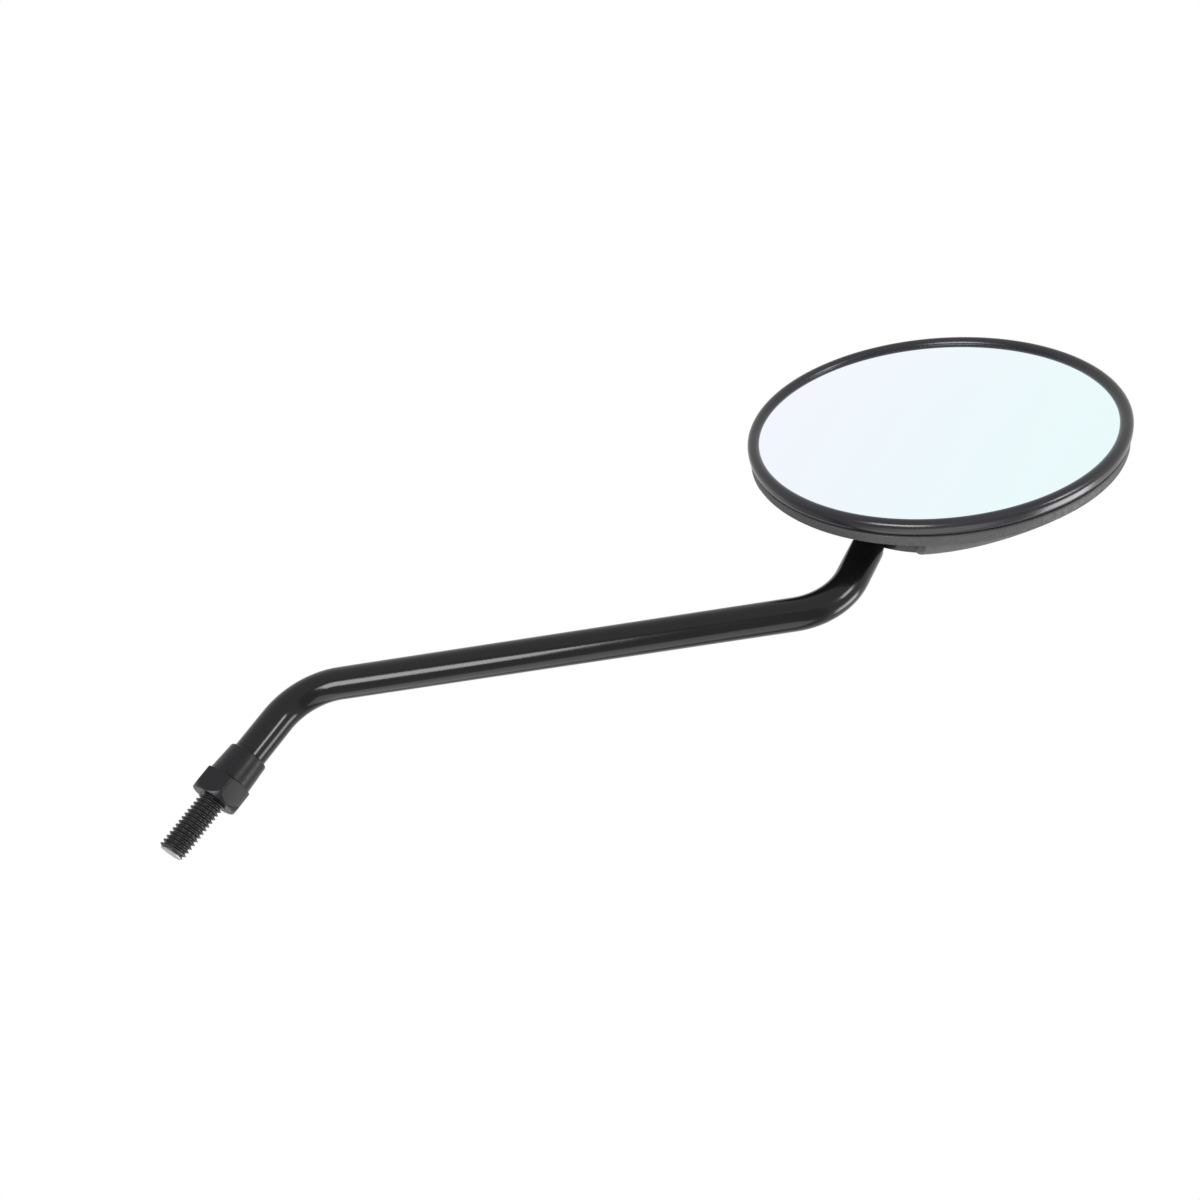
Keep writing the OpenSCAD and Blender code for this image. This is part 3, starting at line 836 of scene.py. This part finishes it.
def side_skin(rim_points):
    """Side band, foot, bezel groove and tongue, closed by a fan over the front."""
    loop = sorted({(round(p[0], 4), round(p[1], 4)): p for p in rim_points}.values(),
                  key=lambda p: math.atan2(p[1], p[0]))
    angles = [math.atan2(p[1], p[0]) for p in loop]
    levels = [loop]
    for r, w in ((HOUSING_R, 5.4), (HOUSING_R, 4.7), (HOUSING_R, 4.1), (HOUSING_R, HOUSING_FOOT + 0.5),
                 (HOUSING_R - 0.05, HOUSING_FOOT + 0.26), (HOUSING_R - 0.18, HOUSING_FOOT + 0.09),
                 (HOUSING_R - 0.4, HOUSING_FOOT), (GROOVE_R, HOUSING_FOOT), (GROOVE_R, GROOVE_TOP),
                 (TONGUE_R, GROOVE_TOP), (TONGUE_R, TONGUE_FRONT)):
        levels.append([(r * math.cos(a), r * math.sin(a), w) for a in angles])
    count = len(loop)
    verts = [p for level in levels for p in level]
    faces = [(a, d, c, b) for a, b, c, d in bridge(len(levels), count)]
    cap(verts, faces, (len(levels) - 1) * count, count, (0.0, 0.0, TONGUE_FRONT), False)
    return verts, faces


def outer_skin():
    """The housing as a closed body, solid inside."""
    shell = Shell()
    rows = skin_rows()
    first, last = rows[0], rows[-1]
    a_dome = math.atan2(first[0][1], first[0][0])
    a_floor = math.atan2(last[0][1], last[0][0])
    far = rim_arc(a_dome, 2 * math.pi - a_dome, BAND_DEPTH)
    near = rim_arc(-a_floor, a_floor, pocket_floor(HOUSING_R, 0))
    mouth = [(u, v, dome_depth(u, v)) for u, v in bore_ring(COUNTERBORE_R + 1.2)]

    shell.add(*pocket_strip(rows))
    shell.add(*dome_skin(first + list(reversed(far)), mouth))
    shell.add(*counterbore(mouth))
    shell.add(*floor_skin(last, near))
    shell.add(*side_skin(far + [row[-1] for row in rows] + near + [row[0] for row in reversed(rows)]))
    return shell.mesh("housing_skin")


def solid(name, verts, faces):
    """A closed mesh of triangles with outward normals, ready for the booleans."""
    data = bpy.data.meshes.new(name)
    data.from_pydata([Vector(v) for v in verts], [], faces)
    bm = bmesh.new()
    bm.from_mesh(data)
    bmesh.ops.triangulate(bm, faces=bm.faces)
    bmesh.ops.recalc_face_normals(bm, faces=bm.faces)
    bm.to_mesh(data)
    bm.free()
    return data


def drum(r, z0, z1, at=(0.0, 0.0), count=64):
    """A closed cylinder in head coordinates."""
    verts = [(at[0] + r * math.cos(2 * math.pi * i / count), at[1] + r * math.sin(2 * math.pi * i / count), z)
             for z in (z0, z1) for i in range(count)]
    faces = [tuple(range(count)), tuple(range(2 * count - 1, count - 1, -1))] + bridge(2, count)
    return solid("drum", verts, faces)


def prism(plan, z0, z1):
    """A closed prism over a plan outline, in head coordinates."""
    count = len(plan)
    verts = [(u, v, z) for z in (z0, z1) for u, v in plan]
    faces = [tuple(range(count)), tuple(range(2 * count - 1, count - 1, -1))] + bridge(2, count)
    return solid("prism", verts, faces)


def dome_solid(rim, foot, base, top, count=96, rings=14):
    """A closed body of the dome's form over a round rim, in head coordinates."""
    verts = []
    shares = [1 - (k / rings) ** 1.6 for k in range(rings)]
    for k in range(-1, rings):
        for i in range(count):
            a = 2 * math.pi * i / count
            share = shares[max(k, 0)]
            d = share * dome_reach(a, rim)
            z = foot if k < 0 else base + (top - base) * (1 - share ** DOME_POWER) ** DOME_EXPONENT
            verts.append((DOME_SHIFT + d * math.cos(a), d * math.sin(a), z))
    faces = bridge(rings + 1, count)
    verts += [(DOME_SHIFT, 0, top), (DOME_SHIFT, 0, foot)]
    for i in range(count):
        j = (i + 1) % count
        faces.append((rings * count + i, rings * count + j, len(verts) - 2))
        faces.append((j, i, len(verts) - 1))
    return solid("dome", verts, faces)


def ball_solid(r, at, count=64):
    rows = count // 2
    verts = [(at[0] + r * math.sin(math.pi * k / rows) * math.cos(2 * math.pi * i / count),
              at[1] + r * math.sin(math.pi * k / rows) * math.sin(2 * math.pi * i / count),
              at[2] - r * math.cos(math.pi * k / rows)) for k in range(1, rows) for i in range(count)]
    faces = bridge(rows - 1, count)
    verts += [(at[0], at[1], at[2] - r), (at[0], at[1], at[2] + r)]
    for i in range(count):
        j = (i + 1) % count
        faces.append((j, i, len(verts) - 2))
        faces.append(((rows - 2) * count + i, (rows - 2) * count + j, len(verts) - 1))
    return solid("ball", verts, faces)


def neck_solids():
    """Room round the neck: one wedge for the turning, and cones at its two ends."""
    reach = NECK_LENGTH + OVER_CONE
    wide = NECK_R + (STEM_R - NECK_R) * OVER_CONE / CONE_LENGTH + TRAVEL_GAP
    thin = NECK_R + TRAVEL_GAP
    near, away = math.tan(TILT_NEAR), math.tan(TILT_AWAY)
    section = [(0.02, -thin), (NECK_LENGTH, -thin - NECK_LENGTH * near), (reach, -wide - reach * near),
               (reach, wide + reach * away), (NECK_LENGTH, thin + NECK_LENGTH * away), (0.02, thin)]
    verts, corners = [], len(section)
    for k in range(FAN_STEPS + 1):
        a = ROLL_LIMIT * (2 * k / FAN_STEPS - 1)
        verts += [(BALL_REACH + x * math.cos(a), x * math.sin(a), BALL_DEPTH + z) for x, z in section]
    faces = bridge(FAN_STEPS + 1, corners)
    faces += [tuple(reversed(range(corners))), tuple(FAN_STEPS * corners + i for i in range(corners))]
    out = [solid("neck_fan", verts, faces)]
    for side in (-1, 1):
        for tilt in (TILT_AWAY, -TILT_NEAR, (TILT_AWAY - TILT_NEAR) / 2):
            turn = Matrix.Rotation(side * ROLL_LIMIT, 4, "Z") @ Matrix.Rotation(-tilt, 4, "Y")
            verts = []
            for x, r in ((0.0, thin), (NECK_LENGTH, thin), (reach, wide)):
                for i in range(CONE_POINTS):
                    a = 2 * math.pi * i / CONE_POINTS
                    p = turn @ Vector((x, r * math.cos(a), r * math.sin(a)))
                    verts.append((BALL_REACH + p.x, p.y, BALL_DEPTH + p.z))
            faces = bridge(3, CONE_POINTS)
            faces += [tuple(reversed(range(CONE_POINTS))), tuple(2 * CONE_POINTS + i for i in range(CONE_POINTS))]
            out.append(solid("neck_cone", verts, faces))
    return out


def combine(data, operation, *tools):
    """The mesh after one boolean step with each tool in turn."""
    scene = bpy.context.scene.collection
    base = bpy.data.objects.new("base", data)
    scene.objects.link(base)
    for tool in tools:
        other = bpy.data.objects.new("tool", tool)
        scene.objects.link(other)
        step = base.modifiers.new("cut", "BOOLEAN")
        step.operation, step.object, step.solver = operation, other, "MANIFOLD"
        bpy.context.view_layer.update()
        shape = bpy.data.meshes.new_from_object(base.evaluated_get(bpy.context.evaluated_depsgraph_get()))
        base.modifiers.clear()
        base.data = shape
        bpy.data.objects.remove(other)
        bpy.data.meshes.remove(tool)
    out = base.data
    bpy.data.objects.remove(base)
    return out


def pocket_prism(grow, z0, z1):
    """The pocket's plan, moved outwards by grow, as a prism that runs out past the rim."""
    x = LIP_REACH - grow
    half = LIP_HALF + grow * math.tan(HALF_FLARE)
    out = HEAD_R + 6 - x
    return prism([(x, -half), (x + out, -half - out), (x + out, half + out), (x, half)], z0, z1)


def make_housing():
    inner_base = BAND_DEPTH - 0.7
    shell = outer_skin()
    inner_dome = dome_solid(HOUSING_R - 2.6, inner_base - 1, inner_base, DOME_HEIGHT - WALL, 72, 10)
    cavity = combine(inner_dome, "UNION", drum(TONGUE_R - 2.5, -1.0, inner_base - 0.5, count=96))
    cavity = combine(cavity, "DIFFERENCE", pocket_prism(WALL, FLOOR_DEPTH - FLOOR_WALL, POCKET_TOP))
    shell = combine(shell, "DIFFERENCE", cavity)
    ball = (BALL_REACH, 0.0)
    rib = [(BALL_REACH - 1, -SCREW_AT[1]), (BALL_REACH + 1, -SCREW_AT[1]),
           (BALL_REACH + 1, SCREW_AT[1]), (BALL_REACH - 1, SCREW_AT[1])]
    bosses = combine(drum(SOCKET_R + 2.4, BALL_DEPTH + 3.6, BEYOND, ball), "UNION",
                     drum(COUNTERBORE_R + 1.3, PLATE_REAR + 0.6, COUNTERBORE_FLOOR - 0.02, SCREW_AT),
                     drum(PEG_BOSS_R, PLATE_REAR, BEYOND, PEG_AT),
                     prism(rib, BALL_DEPTH + 4.5, BALL_DEPTH + 14.5))
    under_skin = dome_solid(HOUSING_R - 0.7, BAND_DEPTH - 1, BAND_DEPTH, DOME_HEIGHT - 0.9)
    bosses = combine(bosses, "INTERSECT", under_skin)
    bosses = combine(bosses, "DIFFERENCE",
                     drum(COUNTERBORE_R + 0.02, COUNTERBORE_FLOOR - 0.01, BEYOND, SCREW_AT))
    shell = combine(shell, "UNION", bosses, drum(PEG_R, PLATE_REAR - 2.1, PLATE_REAR + 3.9, PEG_AT, 40))
    return combine(shell, "DIFFERENCE", ball_solid(SOCKET_R, (*ball, BALL_DEPTH)), *neck_solids(),
                   drum(SCREW_HOLE_R, -1, BEYOND, SCREW_AT, 40))


def housing_object():
    data = make_housing()
    data.transform(Matrix.Scale(MM, 4) @ HEAD)
    data.shade_smooth()
    data.set_sharp_from_angle(angle=math.radians(30))
    data.materials.clear()
    data.materials.append(PLASTIC)
    obj = bpy.data.objects.new("housing_shell", data)
    bpy.context.scene.collection.objects.link(obj)
    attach(obj, "head")
    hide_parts("housing")


housing_object()


# ---------------------------------------------------------------- CAD nodes that stay, with a material each
for node_name, material in (("backing_pad", FOAM), ("rear_ball_seat", SEAT), ("front_ball_seat", SEAT),
                            ("clamp_plate", ZINC), ("lock_washer", ZINC), ("square_nut", ZINC),
                            ("clamp_screw", SCREW)):
    slots = nodes[node_name].data.materials
    slots.clear()
    slots.append(material)


# ---------------------------------------------------------------- floor, world, lamps, camera
FLOOR_HALF = 4.0
FLOOR_Z = -1.2
WORLD_LIGHT = 0.32
WORLD_SEEN = 1.0
SENSOR_WIDTH = 36.0


def make_floor():
    data = bpy.data.meshes.new("studio_floor")
    s, z = FLOOR_HALF, FLOOR_Z
    data.from_pydata([(-s, -s, z), (s, -s, z), (s, s, z), (-s, s, z)], [], [(0, 1, 2, 3)])
    m = Nodes("pale_floor")
    m.put("Base Color", m.mix(m.noise(3, 2, 0.5), (0.8, 0.8, 0.8), (0.82, 0.82, 0.82)))
    m.put("Roughness", 0.9)
    path = m.node("ShaderNodeLightPath")
    glow = m.node("ShaderNodeMath", [(0, path.outputs["Is Camera Ray"]), (1, path.outputs["Is Glossy Ray"])],
                  operation="MAXIMUM")
    m.put("Emission Color", (1.0, 1.0, 1.0, 1.0))
    m.put("Emission Strength", m.math("MULTIPLY", glow.outputs[0], 0.3))
    data.materials.append(m.mat)
    floor = bpy.data.objects.new("studio_floor", data)
    bpy.context.scene.collection.objects.link(floor)


def make_world():
    """White where it is seen or mirrored, dimmer as a light on the part."""
    world = bpy.data.worlds.new("studio")
    bpy.context.scene.world = world
    world.use_nodes = True
    tree = world.node_tree
    back = tree.nodes["Background"]
    path = tree.nodes.new("ShaderNodeLightPath")
    seen = tree.nodes.new("ShaderNodeMath")
    seen.operation = "MAXIMUM"
    tree.links.new(path.outputs["Is Camera Ray"], seen.inputs[0])
    tree.links.new(path.outputs["Is Glossy Ray"], seen.inputs[1])
    through = tree.nodes.new("ShaderNodeMath")
    through.operation = "MAXIMUM"
    tree.links.new(seen.outputs[0], through.inputs[0])
    tree.links.new(path.outputs["Is Transmission Ray"], through.inputs[1])
    level = tree.nodes.new("ShaderNodeMapRange")
    level.inputs["To Min"].default_value = WORLD_LIGHT
    level.inputs["To Max"].default_value = WORLD_SEEN
    tree.links.new(through.outputs[0], level.inputs["Value"])
    back.inputs["Color"].default_value = (1.0, 1.0, 1.0, 1.0)
    tree.links.new(level.outputs["Result"], back.inputs["Strength"])


# Camera fitted to the photograph: its place in metres and its own right, up and backward directions
CAM_AT = Vector((0.215505, -0.251419, -0.04908))
CAM_X = Vector((0.856884, 0.18362, 0.481698))
CAM_Y = Vector((-0.273578, -0.629997, 0.726814))
CAM_Z = Vector((0.436926, -0.754577, -0.4896))
FOCAL_PIXELS = 1093.74
FRAME_PIXELS = 1200


def make_camera():
    data = bpy.data.cameras.new("photo_camera")
    data.sensor_fit = "HORIZONTAL"
    data.sensor_width = SENSOR_WIDTH
    data.lens = FOCAL_PIXELS / FRAME_PIXELS * SENSOR_WIDTH
    data.clip_start = 0.01
    data.clip_end = 50.0
    camera = bpy.data.objects.new("photo_camera", data)
    bpy.context.scene.collection.objects.link(camera)
    turn = Matrix((CAM_X, CAM_Y, CAM_Z)).transposed().to_4x4()
    camera.matrix_world = Matrix.Translation(CAM_AT) @ turn
    bpy.context.scene.camera = camera


CENTRE = Vector((0.09, 0.0, 0.1))


def lamp(name, right, up, near, size, size_y, power):
    """An area lamp placed by the photograph's own right, up and nearer directions."""
    data = bpy.data.lights.new(name, "AREA")
    data.shape = "RECTANGLE"
    data.size, data.size_y = size, size_y
    data.energy = power
    obj = bpy.data.objects.new(name, data)
    bpy.context.scene.collection.objects.link(obj)
    place = CENTRE + CAM_X * right + CAM_Y * up + CAM_Z * near
    aim = (CENTRE - place).to_track_quat("-Z", "Y").to_matrix().to_4x4()
    obj.matrix_world = Matrix.Translation(place) @ aim


make_floor()
make_world()
make_camera()
lamp("key_lamp", 0.0, -1.14, 0.14, 1.5, 0.75, 7.0)
lamp("side_lamp", 1.07, -0.49, 0.0, 0.42, 0.56, 6.2)
lamp("left_lamp", -0.5, -0.05, 0.87, 0.54, 0.4, 9.6)
lamp("right_lamp", 0.76, 0.22, 0.62, 0.22, 0.26, 2.8)
bpy.context.scene.view_settings.view_transform = "Standard"
